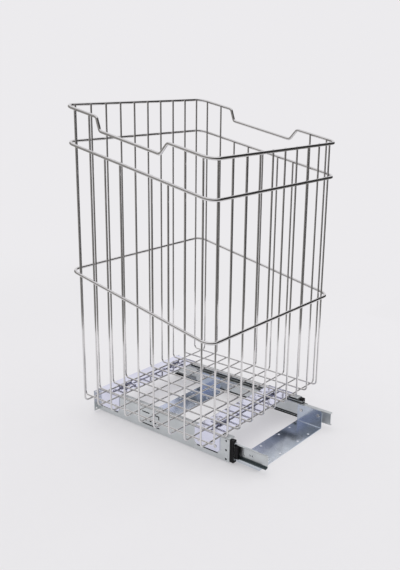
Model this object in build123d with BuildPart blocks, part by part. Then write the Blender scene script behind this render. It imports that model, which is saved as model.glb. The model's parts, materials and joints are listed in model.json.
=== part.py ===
from build123d import *

import os
from math import cos, radians, sin, tan

# Pull-out laundry basket on a full-extension frame that is screwed to a cabinet floor.
# Millimetres. +Z is up, -Y is the way it pulls out, +X is to the right seen from its front.
# The origin is the middle of the front bracket's screw holes, on the cabinet floor.
# It is shown part way out, as far as carriage_out says.

# Basket rings, measured between centre lines
ring_width = 390.0
ring_depth = 344.0
ring_wire_d = 5.8
ring_corner_r = 20.0
ring_slope = 11.6  # degrees that every ring falls towards the rear
rim_z = 599.5
collar_z = 533.5
belly_z = 290.0

# Dip in each side of the rim, where the hands go
hand_hold_depth = 22.5
hand_hold_length = 145.0
hand_hold_ramp = 13.0
hand_hold_bend_r = 7.5
hand_hold_forward = 5.0

# Basket wires, each bent to a U
grid_wire_d = 3.5
grid_z = 59.5  # centre of the bottom wires that run front to rear
wire_bend_r = 8.0
wire_sides = 6  # of a wire's section
front_rear_wires = 10
side_wires = 9
tall_side_wires = 2  # at each end of the row, these reach the rim
past_corner = 1.6  # from the end of a ring's corner to the first wire
wire_end_rise = 1.5
weld_gap = 0.05
basket_set_back = 10.0  # basket's centre behind the side plates' centre

# Floor brackets
bracket_spacing = 260.0
bracket_strip = 57.0
bracket_outside = 220.0
bracket_height = 38.0
bracket_sheet = 1.5
bracket_corner_r = 4.0
bracket_bend_r = 2.25
floor_hole_d = 5.2
floor_hole_rows = 44.0
outer_floor_holes = 140.0
inner_floor_holes = 62.0

# Ball-bearing slides
slide_length = 350.0
slide_ahead = 42.0  # fixed member's front end before the front bracket's centre
slide_thickness = 12.7
slide_height = 45.0
slide_above_floor = 3.5
outer_sheet = 1.2
middle_sheet = 1.0
inner_sheet = 1.2
middle_short = 30.0  # the intermediate member ends this much short at the rear
middle_web_gap = 1.1  # between the outer and the intermediate member's webs
channel_bend_r = 1.6
ball_d = 3.5
ball_clearance = 0.08
ball_wrap = 85.0  # degrees that a member's lip curls round its balls
fixed_ball_wrap = 65.0
outer_ball_depth = 6.2  # ball's centre to the outer face of the outer member
inner_ball_depth = 3.9  # ball's centre to the outer face of the inner member
carriage_out = 76.0
inner_cage_share = 0.25  # of the carriage's travel
outer_cage_share = 0.75
fixing_slot_inset = 36.0  # middle of a pair of small slots, from the fixed member's rear end
fixing_slot_pitch = 5.1
fixing_slot_width = 2.6
fixing_slot_height = 3.4
latch_cut_inset = 54.5  # L-shaped cut ahead of the pair
latch_cut_height = 10.0
latch_cut_foot = 4.0
latch_cut_width = 1.0

# Ball cages, plain strips bent round the rows of balls
cage_sheet = 0.5
cage_front = 92.0  # closed, a cage's front end behind the fixed member's front end
inner_cage_length = 128.0
outer_cage_length = 163.0
cage_clearance = 0.3

# Plastic buffer on the outer member's rear end
buffer_length = 8.0
buffer_web = 1.7
buffer_rim = 4.0
buffer_depth = 9.2

# Plastic cap on the intermediate member's rear end
cap_height = 26.0
cap_reach = 8.0
cap_plug = 10.0
cap_plug_height = 23.6
cap_clearance = 0.3

# Side plates, as long as the slides
plate_sheet = 1.5
plate_below_slide = 0.7
plate_above_slide = 0.3
plate_flange = 16.0
plate_bend_r = 1.0
door_flange = 12.0
door_flange_relief = 6.0
door_hole_d = 4.2
door_hole_inset = 6.0
hole_column_pitch = 18.6
hole_column_inset = 8.0
column_hole_d = 4.0
window_y = 34.5
window_slot_width = 2.4
window_height = 25.2
window_length = 46.0
window_gap = 7.0
end_slot_length = 7.0
tab_slot_below = 2.2  # middle of the slot under each strip's tab, from the tab's end

# Cross strips, ends folded down outside the plates
strip_width = 60.0
strip_sheet = 1.5
strip_bend_r = 2.0
tab_bottom_z = 15.7
tab_chamfer = 5.0
front_strip_wire = 0
rear_strip_wire = 7

# Saddle clips that the basket's bottom wires drop into
clip_length = 30.0
clip_base = 22.0
clip_base_sheet = 1.6
clip_wall = 2.2
clip_play = 0.3
clip_wall_rise = 1.0  # of the walls above the middle of the wire
clip_bay = 2  # in wire pitches from the middle

# Places worked out from the sizes above
slide_face = bracket_outside / 2
slide_z = slide_above_floor + slide_height / 2
fixed_front = -slide_ahead
fixed_rear = fixed_front + slide_length
outer_front = fixed_front - carriage_out
middle_front = fixed_front - carriage_out / 2
middle_length = slide_length - middle_short
plate_front = outer_front
plate_rear = plate_front + slide_length
plate_inside = slide_face + slide_thickness
plate_outside = plate_inside + plate_sheet
plate_bottom = slide_above_floor - plate_below_slide
plate_top = slide_above_floor + slide_height + plate_above_slide + plate_sheet
strip_top = plate_top + strip_sheet
basket_y = (plate_front + plate_rear) / 2 + basket_set_back
wire_inset = (ring_wire_d + grid_wire_d) / 2 + weld_gap
wire_half_width = ring_width / 2 - wire_inset
wire_half_depth = ring_depth / 2 - wire_inset
wire_pitch_x = (ring_width - 2 * (ring_corner_r + past_corner)) / (front_rear_wires - 1)
wire_pitch_y = (ring_depth - 2 * (ring_corner_r + past_corner)) / (side_wires - 1)
side_grid_z = grid_z - grid_wire_d - weld_gap
outer_ball_x = plate_inside - outer_ball_depth
inner_ball_x = slide_face + inner_ball_depth
outer_ball_z = slide_height / 2 - outer_sheet - ball_clearance - ball_d / 2
middle_top = outer_ball_z - ball_d / 2 - ball_clearance
inner_ball_z = middle_top - middle_sheet - ball_clearance - ball_d / 2
middle_web_x = plate_inside - outer_sheet - middle_web_gap - middle_sheet / 2

os.makedirs("parts", exist_ok=True)


def save(part, name):
    part.label = name
    export_step(part, f"parts/{name}.step")


def save_pair(right_part, name):
    save(right_part, f"{name}_right")
    save(mirror(right_part, about=Plane.YZ), f"{name}_left")


def cross_plane(y, z=0.0):
    """Upright plane across the basket, seen from the front."""
    return Plane(origin=(0, y, z), x_dir=(1, 0, 0), z_dir=(0, -1, 0))


def side_wire_y(number):
    return basket_y + (number - (side_wires - 1) / 2) * wire_pitch_y


def ring_height(middle_z, y):
    return middle_z - (y - basket_y) * tan(radians(ring_slope))


def make_ring(middle_z, side_run=()):
    """Closed wire ring in a sloping plane; side_run holds the dips of its sides."""
    slope = radians(ring_slope)
    plane = Plane(
        origin=(0, basket_y, middle_z), x_dir=(1, 0, 0), z_dir=(0, sin(slope), cos(slope))
    )
    half_width = ring_width / 2
    half_run = ring_depth / 2 / cos(slope)
    with BuildPart() as ring:
        with BuildLine(plane):
            path = FilletPolyline(
                (0, half_run, 0),
                (half_width, half_run, 0),
                *((half_width, along, up) for along, up in side_run),
                (half_width, -half_run, 0),
                (0, -half_run, 0),
                radius=[ring_corner_r, *(hand_hold_bend_r for _ in side_run), ring_corner_r],
            )
        with BuildSketch(Plane(origin=path @ 0, x_dir=plane.y_dir, z_dir=path % 0)):
            RegularPolygon(ring_wire_d / 2, wire_sides)
        sweep()
        mirror(about=Plane.YZ)
    return ring.part


def make_wire(plane, low_end, high_end, bottom_z, low_top, high_top):
    """U-shaped wire in an upright plane; each bend is two chords of its arc."""
    chord_inset = wire_bend_r * (1 - cos(radians(45)))
    with BuildPart() as wire:
        with BuildLine(plane):
            path = Polyline(
                (low_end, low_top),
                (low_end, bottom_z + wire_bend_r),
                (low_end + chord_inset, bottom_z + chord_inset),
                (low_end + wire_bend_r, bottom_z),
                (high_end - wire_bend_r, bottom_z),
                (high_end - chord_inset, bottom_z + chord_inset),
                (high_end, bottom_z + wire_bend_r),
                (high_end, high_top),
            )
        with BuildSketch(Plane(origin=path @ 0, x_dir=plane.x_dir, z_dir=path % 0)):
            RegularPolygon(grid_wire_d / 2, wire_sides)
        sweep(transition=Transition.RIGHT)
    return wire.part


def make_bracket(middle_y):
    """U-shaped floor bracket, bent from one strip."""
    upright_x = slide_face - bracket_sheet / 2
    floor_z = bracket_sheet / 2
    with BuildPart() as bracket:
        with BuildSketch(cross_plane(middle_y + bracket_strip / 2)):
            with BuildLine():
                FilletPolyline(
                    (-upright_x, bracket_height),
                    (-upright_x, floor_z),
                    (upright_x, floor_z),
                    (upright_x, bracket_height),
                    radius=bracket_bend_r,
                )
            trace(line_width=bracket_sheet)
        extrude(amount=bracket_strip)
        fillet(
            bracket.edges().filter_by(Axis.X).group_by(Axis.Z)[-1], bracket_corner_r
        )
        with BuildSketch(Plane.XY):
            with Locations((0, middle_y)):
                with GridLocations(outer_floor_holes, floor_hole_rows, 2, 2):
                    Circle(floor_hole_d / 2)
                with GridLocations(inner_floor_holes, floor_hole_rows, 2, 2):
                    Circle(floor_hole_d / 2)
        extrude(amount=bracket_sheet, mode=Mode.SUBTRACT)
    return bracket.part


def ball_lip(ball_x, ball_z, sheet, start, turn):
    """Arc of a sheet's middle line round a row of balls."""
    return CenterArc((ball_x, ball_z), ball_d / 2 + ball_clearance + sheet / 2, start, turn)


def make_channel(web_x, ball_x, ball_z, sheet, start, turn, front, length):
    """Slide member: a web, two flanges and lips that curl round the balls."""
    flange_z = (ball_lip(ball_x, ball_z, sheet, start, turn) @ 0).Y
    with BuildPart() as channel:
        with BuildSketch(cross_plane(front + length, slide_z)):
            with BuildLine():
                FilletPolyline(
                    (web_x, 0), (web_x, flange_z), (ball_x, flange_z), radius=channel_bend_r
                )
                ball_lip(ball_x, ball_z, sheet, start, turn)
                mirror(about=Plane.XZ)
            trace(line_width=sheet)
        extrude(amount=length)
    return channel.part


def make_cage(web_x, ball_z, edge_x, front, length):
    """Strip that runs between two rows of balls and turns in beside each row."""
    with BuildPart() as cage:
        with BuildSketch(cross_plane(front + length, slide_z)):
            with BuildLine():
                Polyline(
                    (edge_x, ball_z),
                    (web_x, ball_z),
                    (web_x, -ball_z),
                    (edge_x, -ball_z),
                )
            trace(line_width=cage_sheet)
        extrude(amount=length)
    return cage.part


def shared_slots():
    """Slots of the side plate and the slide behind it, under the tabs and round the window."""
    half_window = window_height / 2
    upper_slot = (window_length - window_gap) / 2
    window_front = window_y - window_length / 2
    window_rear = window_y + window_length / 2
    with BuildSketch(Plane.YZ.offset(plate_outside)) as slots:
        with Locations((window_y, slide_z - half_window)):
            Rectangle(window_length, window_slot_width)
        with Locations(
            (window_front + upper_slot / 2, slide_z + half_window),
            (window_rear - upper_slot / 2, slide_z + half_window),
        ):
            Rectangle(upper_slot, window_slot_width)
        with Locations(
            (window_rear - window_slot_width / 2, slide_z + half_window - end_slot_length / 2),
            (window_rear - window_slot_width / 2, slide_z - end_slot_length / 2),
        ):
            Rectangle(window_slot_width, end_slot_length)
        with Locations(
            (side_wire_y(front_strip_wire), tab_bottom_z - tab_slot_below),
            (side_wire_y(rear_strip_wire), tab_bottom_z - tab_slot_below),
        ):
            Rectangle(strip_width - 2 * tab_chamfer, window_slot_width)
    return slots.sketch


front_strip_y = side_wire_y(front_strip_wire)
rear_strip_y = side_wire_y(rear_strip_wire)

# Floor brackets
save(make_bracket(0), "floor_bracket_front")
save(make_bracket(bracket_spacing), "floor_bracket_rear")

# Fixed members of the slides, flat on the brackets' uprights
with BuildPart() as inner_member:
    add(
        make_channel(
            slide_face + inner_sheet / 2,
            inner_ball_x,
            inner_ball_z,
            inner_sheet,
            270,
            fixed_ball_wrap,
            fixed_front,
            slide_length,
        )
    )
    with BuildSketch(Plane.YZ.offset(slide_face)):
        with Locations((fixed_rear - fixing_slot_inset, slide_z)):
            with GridLocations(fixing_slot_pitch, 0, 2, 1):
                Rectangle(fixing_slot_width, fixing_slot_height)
        with Locations((fixed_rear - latch_cut_inset, slide_z)):
            Rectangle(latch_cut_width, latch_cut_height)
        with Locations((fixed_rear - latch_cut_inset, slide_z - latch_cut_height / 2)):
            Rectangle(latch_cut_foot, latch_cut_width, align=Align.MIN)
    extrude(amount=inner_sheet, mode=Mode.SUBTRACT)
save_pair(inner_member.part, "slide_inner_member")

# Intermediate members and their end caps
middle_member = make_channel(
    middle_web_x,
    inner_ball_x,
    inner_ball_z,
    middle_sheet,
    90,
    ball_wrap,
    middle_front,
    middle_length,
)
save_pair(middle_member, "slide_middle_member")

middle_rear = middle_front + middle_length
cap_inside = (
    inner_ball_x + ball_d / 2 + ball_clearance + inner_sheet + cap_clearance
)
cap_outside = plate_inside - buffer_web - cap_clearance
plug_outside = middle_web_x - middle_sheet / 2
with BuildPart() as end_cap:
    with BuildSketch(cross_plane(middle_rear + cap_reach, slide_z)):
        with Locations(((cap_inside + cap_outside) / 2, 0)):
            Rectangle(cap_outside - cap_inside, cap_height)
    extrude(amount=cap_reach)
    with BuildSketch(cross_plane(middle_rear, slide_z)):
        with Locations(((cap_inside + plug_outside) / 2, 0)):
            Rectangle(plug_outside - cap_inside, cap_plug_height)
    extrude(amount=cap_plug)
save_pair(end_cap.part, "slide_end_cap")

# Ball cages, each moved by its share of the carriage's travel
inner_cage = make_cage(
    middle_web_x - middle_sheet / 2 - cage_clearance - cage_sheet / 2,
    inner_ball_z,
    inner_ball_x - ball_d / 2 - ball_clearance + cage_clearance,
    fixed_front + cage_front - carriage_out * inner_cage_share,
    inner_cage_length,
)
save_pair(inner_cage, "inner_ball_cage")

outer_cage = make_cage(
    middle_web_x + middle_sheet / 2 + middle_web_gap / 2,
    outer_ball_z,
    outer_ball_x - ball_d / 2 - ball_clearance + cage_clearance,
    fixed_front + cage_front - carriage_out * outer_cage_share,
    outer_cage_length,
)
save_pair(outer_cage, "outer_ball_cage")

# Outer members, pierced behind the side plates' slots
with BuildPart() as outer_member:
    add(
        make_channel(
            plate_inside - outer_sheet / 2,
            outer_ball_x,
            outer_ball_z,
            outer_sheet,
            90,
            ball_wrap,
            outer_front,
            slide_length,
        )
    )
    extrude(shared_slots(), amount=-(plate_sheet + outer_sheet), mode=Mode.SUBTRACT)
save_pair(outer_member.part, "slide_outer_member")

# Buffers on the outer members' rear ends, open for the intermediate members
with BuildPart() as buffer:
    with BuildSketch(cross_plane(outer_front + slide_length + buffer_length, slide_z)):
        with Locations((plate_inside, 0)):
            Rectangle(buffer_depth, slide_height, align=(Align.MAX, Align.CENTER))
        with Locations((plate_inside - buffer_web, 0)):
            Rectangle(
                buffer_depth,
                slide_height - 2 * buffer_rim,
                align=(Align.MAX, Align.CENTER),
                mode=Mode.SUBTRACT,
            )
    extrude(amount=buffer_length)
save_pair(buffer.part, "slide_buffer")

# Side plates: web, top flange over the slide and front flange for the door
plate_x = plate_inside + plate_sheet / 2
bend_middle_r = plate_bend_r + plate_sheet / 2
with BuildPart() as side_plate:
    with BuildSketch(cross_plane(plate_rear)):
        with BuildLine():
            FilletPolyline(
                (plate_x, plate_bottom),
                (plate_x, plate_top - plate_sheet / 2),
                (plate_outside - plate_flange, plate_top - plate_sheet / 2),
                radius=bend_middle_r,
            )
        trace(line_width=plate_sheet)
    extrude(amount=slide_length - door_flange_relief)
    with BuildSketch(Plane.XY.offset(plate_bottom)):
        with BuildLine():
            FilletPolyline(
                (plate_x, plate_front + 2 * door_flange_relief),
                (plate_x, plate_front + plate_sheet / 2),
                (plate_outside + door_flange, plate_front + plate_sheet / 2),
                radius=bend_middle_r,
            )
        trace(line_width=plate_sheet)
    extrude(amount=plate_top - plate_sheet - plate_bend_r - plate_bottom)
    with BuildSketch(cross_plane(plate_front)):
        with Locations(
            (plate_outside + door_hole_inset, slide_z - hole_column_pitch),
            (plate_outside + door_hole_inset, slide_z + hole_column_pitch / 2),
            (plate_outside + door_hole_inset, slide_z + hole_column_pitch),
        ):
            Circle(door_hole_d / 2)
    extrude(amount=-plate_sheet, mode=Mode.SUBTRACT)
    extrude(shared_slots(), amount=-plate_sheet, mode=Mode.SUBTRACT)
    with BuildSketch(Plane.YZ.offset(plate_outside)):
        with Locations((plate_rear - hole_column_inset, slide_z)):
            with GridLocations(0, hole_column_pitch, 1, 3):
                Circle(column_hole_d / 2)
    extrude(amount=-plate_sheet, mode=Mode.SUBTRACT)
save_pair(side_plate.part, "side_plate")

# Cross strips with their ends folded down over the side plates
tab_x = plate_outside + strip_sheet / 2
strip_z = plate_top + strip_sheet / 2
for name, strip_y in (
    ("cross_strip_front", front_strip_y),
    ("cross_strip_rear", rear_strip_y),
):
    with BuildPart() as cross_strip:
        with BuildSketch(cross_plane(strip_y + strip_width / 2)):
            with BuildLine():
                FilletPolyline(
                    (-tab_x, tab_bottom_z),
                    (-tab_x, strip_z),
                    (tab_x, strip_z),
                    (tab_x, tab_bottom_z),
                    radius=strip_bend_r + strip_sheet / 2,
                )
            trace(line_width=strip_sheet)
        extrude(amount=strip_width)
        chamfer(cross_strip.edges().filter_by(Axis.X).group_by(Axis.Z)[0], tab_chamfer)
    save(cross_strip.part, name)

# Saddle clips: a base on the strip and two walls that the bottom wire drops between
clip_x = clip_bay * wire_pitch_x
saddle_r = grid_wire_d / 2 + clip_play
saddle_width = 2 * (saddle_r + clip_wall)
for row_name, strip_y, base_side in (("front", front_strip_y, 1), ("rear", rear_strip_y, -1)):
    with BuildPart() as clip:
        with BuildSketch(Plane.YZ.offset(clip_x - clip_length / 2)):
            with Locations((strip_y + base_side * (clip_base - saddle_width) / 2, strip_top)):
                Rectangle(clip_base, clip_base_sheet, align=(Align.CENTER, Align.MIN))
            with Locations((strip_y, strip_top)):
                Rectangle(
                    saddle_width,
                    side_grid_z + clip_wall_rise - strip_top,
                    align=(Align.CENTER, Align.MIN),
                )
            with Locations((strip_y, side_grid_z)):
                Circle(saddle_r, mode=Mode.SUBTRACT)
                Rectangle(
                    2 * saddle_r,
                    2 * saddle_r,
                    align=(Align.CENTER, Align.MIN),
                    mode=Mode.SUBTRACT,
                )
        extrude(amount=clip_length)
    save_pair(clip.part, f"basket_clip_{row_name}")

# Basket rings; the rim dips at each side
dip_front = -hand_hold_forward - hand_hold_length / 2
dip_rear = -hand_hold_forward + hand_hold_length / 2
hand_hold = (
    (dip_rear + hand_hold_ramp, 0),
    (dip_rear, -hand_hold_depth),
    (dip_front, -hand_hold_depth),
    (dip_front - hand_hold_ramp, 0),
)
save(make_ring(rim_z, hand_hold), "top_rim")
save(make_ring(collar_z), "collar_ring")
save(make_ring(belly_z), "belly_ring")

# Wires that run front to rear, all up to the rim
front_y = basket_y - wire_half_depth
rear_y = basket_y + wire_half_depth
for number in range(front_rear_wires):
    wire_x = (number - (front_rear_wires - 1) / 2) * wire_pitch_x
    wire = make_wire(
        Plane.YZ.offset(wire_x),
        front_y,
        rear_y,
        grid_z,
        ring_height(rim_z, front_y) + wire_end_rise,
        ring_height(rim_z, rear_y) + wire_end_rise,
    )
    save(wire, f"front_rear_wire_{number + 1}")

# Wires that run side to side; those under the hand-holds stop at the collar
for number in range(side_wires):
    wire_y = side_wire_y(number)
    tall = number < tall_side_wires or number >= side_wires - tall_side_wires
    top = ring_height(rim_z if tall else collar_z, wire_y) + wire_end_rise
    wire = make_wire(cross_plane(wire_y), -wire_half_width, wire_half_width, side_grid_z, top, top)
    save(wire, f"side_wire_{number + 1}")
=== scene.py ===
"""Pull-out laundry basket of chromed wire on a plated steel frame with ball-bearing slides.

Every size is in metres. -Y is the way the basket pulls out, +Z is up, and the cabinet
floor is at zero height. Each piece stands where the solid of the same name stands.
"""

import json
from functools import cached_property
from math import atan2, copysign, cos, pi, radians, sin, tan

import bpy
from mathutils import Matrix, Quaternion, Vector

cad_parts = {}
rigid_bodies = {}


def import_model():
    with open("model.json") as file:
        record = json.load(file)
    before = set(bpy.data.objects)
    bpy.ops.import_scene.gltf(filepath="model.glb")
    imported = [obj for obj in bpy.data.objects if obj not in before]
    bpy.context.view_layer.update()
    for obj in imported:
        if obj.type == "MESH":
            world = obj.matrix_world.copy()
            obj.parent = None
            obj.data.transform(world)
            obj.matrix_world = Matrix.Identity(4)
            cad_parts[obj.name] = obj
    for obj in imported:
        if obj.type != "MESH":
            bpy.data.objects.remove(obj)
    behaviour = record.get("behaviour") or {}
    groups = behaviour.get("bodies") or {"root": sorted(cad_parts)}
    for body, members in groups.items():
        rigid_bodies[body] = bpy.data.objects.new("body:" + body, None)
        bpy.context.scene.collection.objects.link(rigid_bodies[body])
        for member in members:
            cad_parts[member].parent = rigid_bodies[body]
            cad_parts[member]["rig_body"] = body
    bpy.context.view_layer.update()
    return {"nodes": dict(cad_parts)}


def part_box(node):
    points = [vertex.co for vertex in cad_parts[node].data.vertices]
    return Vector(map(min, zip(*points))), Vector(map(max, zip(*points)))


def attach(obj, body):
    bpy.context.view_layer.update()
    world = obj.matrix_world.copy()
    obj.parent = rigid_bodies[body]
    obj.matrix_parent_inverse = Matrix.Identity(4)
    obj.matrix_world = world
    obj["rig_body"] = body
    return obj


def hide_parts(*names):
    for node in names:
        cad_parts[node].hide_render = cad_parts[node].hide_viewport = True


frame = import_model()

bl_info = {
    "name": "Pull-out laundry basket",
    "version": (1, 0, 0),
    "blender": (4, 5, 0),
    "location": "3D View > Sidebar > Laundry basket",
    "description": "Builds the wire basket, its slides and plates, and the studio round it",
    "category": "Object",
}

MERGE_DISTANCE = 1e-6
MIRROR_DISTANCE = 1e-5
FLAT_ANGLE = radians(0.5)
SHARP_ANGLE = radians(35)
FILLET_ANGLE = radians(50)
ROUND_ANGLE = radians(60)
FACING = 0.9
SQUARE_ON = 0.99
WIRE_FACETS = 20
HOLE_FACETS = 32
CLOTH_FACETS = 72
RING_STEPS = 12
BEND_STEPS = 8
FLOOR_WIDTH = 16.0
FLOOR_DROP = 0.0001
CLOTH_LIFT = 0.001
CLOTH_FADE = (0.77, -0.64, 0.0)
FILM_HEIGHT = 36.0
SIDES = (("left", -1), ("right", 1))
ENDS = ("front", "rear")


def setting(kind, **limits):
    """Makes a function that gives settings of one kind their name, description and default."""

    def described(name, description, default):
        return kind(name=name, description=description, default=default, **limits)

    return described


count = setting(bpy.props.IntProperty, min=1)
size = setting(bpy.props.FloatProperty, min=0.0, precision=4, subtype="DISTANCE", unit="LENGTH")
share = setting(bpy.props.FloatProperty, min=0.0, max=1.0, subtype="FACTOR")
tilt = setting(bpy.props.FloatProperty, subtype="ANGLE", unit="ROTATION")
lens = setting(bpy.props.FloatProperty, min=1.0, unit="CAMERA")
power = setting(bpy.props.FloatProperty, min=0.0, unit="POWER")
strength = setting(bpy.props.FloatProperty, min=0.0)
tint = setting(bpy.props.FloatVectorProperty, min=0.0, max=1.0, size=3, subtype="COLOR")
point = setting(bpy.props.FloatVectorProperty, size=3, subtype="TRANSLATION", unit="LENGTH")
sector = setting(bpy.props.FloatVectorProperty, size=2, unit="ROTATION")


class BasketSizes(bpy.types.PropertyGroup):
    """Wires and rings of the basket."""

    ring_wire: size("Ring wire", "Diameter of the rim, collar and belly wire", 0.0058)
    grid_wire: size("Grid wire", "Diameter of the bent wires", 0.0035)
    ring_corner: size("Ring corner", "Radius of a ring's corners, at its centre line", 0.020)
    ring_slope: tilt("Ring slope", "Fall of every ring towards the rear", radians(11.6))
    rim_height: size("Rim height", "Middle of the rim above the floor", 0.5993)
    collar_height: size("Collar height", "Middle of the collar above the floor", 0.5335)
    belly_height: size("Belly height", "Middle of the belly ring above the floor", 0.290)
    hand_hold_depth: size("Hand-hold depth", "How far the rim dips at each side", 0.0225)
    hand_hold_length: size("Hand-hold length", "Length of the dip's low run", 0.145)
    hand_hold_ramp: size("Hand-hold ramp", "Length over which the rim goes down", 0.013)
    hand_hold_forward: size("Hand-hold offset", "Middle of the dip ahead of the basket's", 0.005)
    hand_hold_bend: size("Hand-hold bend", "Radius of the dip's four bends", 0.0075)
    wire_bend: size("Wire bend", "Radius of the bends at a wire's foot", 0.008)
    end_bevel: size("Cut end", "Rounding of a wire's cut ends", 0.0004)
    weld_bead: size("Weld bead", "Diameter of the bead where two wires are welded", 0.0030)
    weld_sink: share("Weld sink", "Height of a bead as a share of its diameter", 0.8)


class FrameSizes(bpy.types.PropertyGroup):
    """Small parts and edges of the slides, plates, strips and clips."""

    sheet_edge: size("Sheet edge", "Rounding of the cut edges of the sheet steel", 0.00022)
    plastic_edge: size("Plastic edge", "Rounding of the moulded pieces", 0.0006)
    rivet_head: size("Rivet head", "Diameter of a rivet's head", 0.007)
    rivet_height: size("Rivet height", "Height of a rivet's head", 0.0013)
    rivet_spacing: size("Rivet spacing", "Distance between the rivets of a pair", 0.040)
    clip_rivet_head: size("Clip rivet head", "Diameter of the rivet that holds a clip", 0.0056)
    window_hole: size("Window hole", "Diameter of the round holes in a plate's window", 0.0056)
    window_hole_pitch: size("Window hole pitch", "Distance between those holes", 0.0125)
    window_middle: size("Window middle", "Middle one of them behind the front screws", 0.0338)
    window_drop: size("Window drop", "Those holes below the middle of the slide", 0.003)
    ball: size("Ball", "Diameter of a slide's balls", 0.0035)
    ball_play: size("Ball play", "Gap between a ball and its pocket", 0.0002)
    balls_in_row: count("Balls in a row", "Balls along one edge of a cage", 10)
    ball_set: size("Ball set", "Depth of a ball's outline behind its cage's edge", 0.00022)
    cage_sheet: size("Cage sheet", "Thickness of a ball cage", 0.0005)
    cage_end: size("Cage end", "First ball's middle from the cage's end", 0.008)
    column_hole: size("Column hole", "Diameter of the holes at a plate's rear end", 0.004)
    column_pitch: size("Column pitch", "Distance between those holes", 0.0186)
    column_inset: size("Column inset", "Middle of those holes from the plate's end", 0.008)
    outer_sheet: size("Outer sheet", "Thickness of a slide's outer member", 0.0012)
    middle_sheet: size("Middle sheet", "Thickness of a slide's intermediate member", 0.001)
    # These rims bound the near-black paint inside the channels: lubricant in the ball tracks and
    # painted shade
    outer_rim: size("Outer rim", "Clean rim of an outer member outside its grease", 0.001)
    middle_rim: size("Middle rim", "Clean rim of an intermediate member", 0.0016)
    # Painted shade: height of the dark band painted along a fixed member's foot
    foot_shade_height: size("Foot track", "Height of the dull band in a fixed member's foot", 0.0052)
    bracket_sheet: size("Bracket sheet", "Thickness of the floor brackets", 0.0015)
    clip_sheet: size("Clip sheet", "Thickness of the clips", 0.0016)
    clip_rivet_inset: size("Clip rivet inset", "Rivet's middle from the clip's free end", 0.007)
    # Painted shade: length and thickness of a thin black sheet behind the holes at a side plate's
    # rear end, which makes them look dark
    shade_sheet_length: size("Bumper", "Length of the rubber bumper behind a side plate's holes", 0.0195)
    shade_sheet_thickness: size("Bumper thickness", "Thickness of that bumper", 0.0007)


class PlatingColours(bpy.types.PropertyGroup):
    """Colours of the plated steel and the plastic."""

    chrome: tint("Chrome", "Bright chrome on the wires", (0.74, 0.73, 0.73))
    zinc: tint("Zinc", "Faintly green grey zinc of the plates and slides", (0.64, 0.67, 0.68))
    # This deep colour is also the painted shade at the brackets' -X end
    blue_zinc: tint("Blue zinc", "Deep clouds in the blue zinc of the brackets", (0.48, 0.55, 0.68))
    pale_zinc: tint("Pale zinc", "Pale blue zinc of the cross strips", (0.78, 0.79, 0.92))
    # Painted shade: colour of the dark band painted along a fixed member's foot
    dull_zinc: tint("Dull zinc", "Dull band in the foot of the fixed members", (0.14, 0.17, 0.18))
    plastic: tint("Plastic", "Black plastic of the caps, buffers and cages", (0.006, 0.006, 0.007))
    # Near-black colour of the lubricant in the ball tracks and of the painted shade in the
    # channels, holes and cut-outs
    grease_and_shade: tint("Grease", "Steel under the grease of the ball tracks", (0.006, 0.006, 0.008))


class StudioSettings(bpy.types.PropertyGroup):
    """Camera, backdrop and lamps."""

    camera_place: point("Camera", "Where the camera stands", (1.1052, 0.9633, 0.6983))
    camera_aim: point("Aim", "Point at the middle of the picture", (0.06985, 0.11383, 0.30952))
    camera_roll: tilt("Roll", "Turn of the camera about its line of sight", radians(0.532))
    camera_lens: lens("Lens", "Focal length for a picture 36 mm high", 46.87)
    backdrop: tint("Backdrop", "Colour of the floor and of what is behind", (0.84, 0.83, 0.85))
    dark_cloth: tint("Dark cloth", "Cloth that the bright wire mirrors, rear", (0.03, 0.03, 0.03))
    grey_cloth: tint("Grey cloth", "The same cloth in front", (0.40, 0.39, 0.37))
    cloth_reach: size("Cloth reach", "Distance of the dark cloth's outer edge", 4.2)
    cloth_gap: size("Cloth gap", "Distance of its inner edge on the floor", 0.85)
    cloth_height: size("Cloth height", "Height of the cloth that hangs", 4.2)
    cloth_opening: sector(
        "Cloth opening",
        "Directions between which it is open, counter-clockwise from the front",
        (radians(268), radians(350)),
    )
    near_glow: share("Near glow", "Share of the floor's own glow at the basket", 0.45)
    glow_start: size("Glow start", "Distance from which the floor's glow grows", 0.45)
    glow_full: size("Glow full", "Distance from which the floor only glows", 1.5)
    daylight: strength("Daylight", "Even light from all round", 0.62)
    overhead_lamp: power("Overhead lamp", "Power of the large lamp overhead", 24.0)
    side_lamp: power("Side lamp", "Power of the lamp at the side", 12.0)


# Shader expressions


def add_node(tree, kind, sockets=None, output=0, **settings):
    """Adds a node with its settings, fills its sockets with values or links, and reads it."""
    node = tree.nodes.new(kind)
    for name, value in settings.items():
        setattr(node, name, value)
    for name, value in (sockets or {}).items():
        if isinstance(value, Reading):
            tree.links.new(value.node.outputs[value.output], node.inputs[name])
        else:
            node.inputs[name].default_value = value
    return Reading(tree, node, output)


class Reading:
    """An output of a shader node; arithmetic on it adds Math nodes."""

    def __init__(self, tree, node, output):
        self.tree = tree
        self.node = node
        self.output = output

    def combine(self, operation, first, second):
        return add_node(self.tree, "ShaderNodeMath", {0: first, 1: second}, operation=operation)

    def __add__(self, other):
        return self.combine("ADD", self, other)

    def __radd__(self, other):
        return self.combine("ADD", other, self)

    def __sub__(self, other):
        return self.combine("SUBTRACT", self, other)

    def __rsub__(self, other):
        return self.combine("SUBTRACT", other, self)

    def __mul__(self, other):
        return self.combine("MULTIPLY", self, other)


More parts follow.
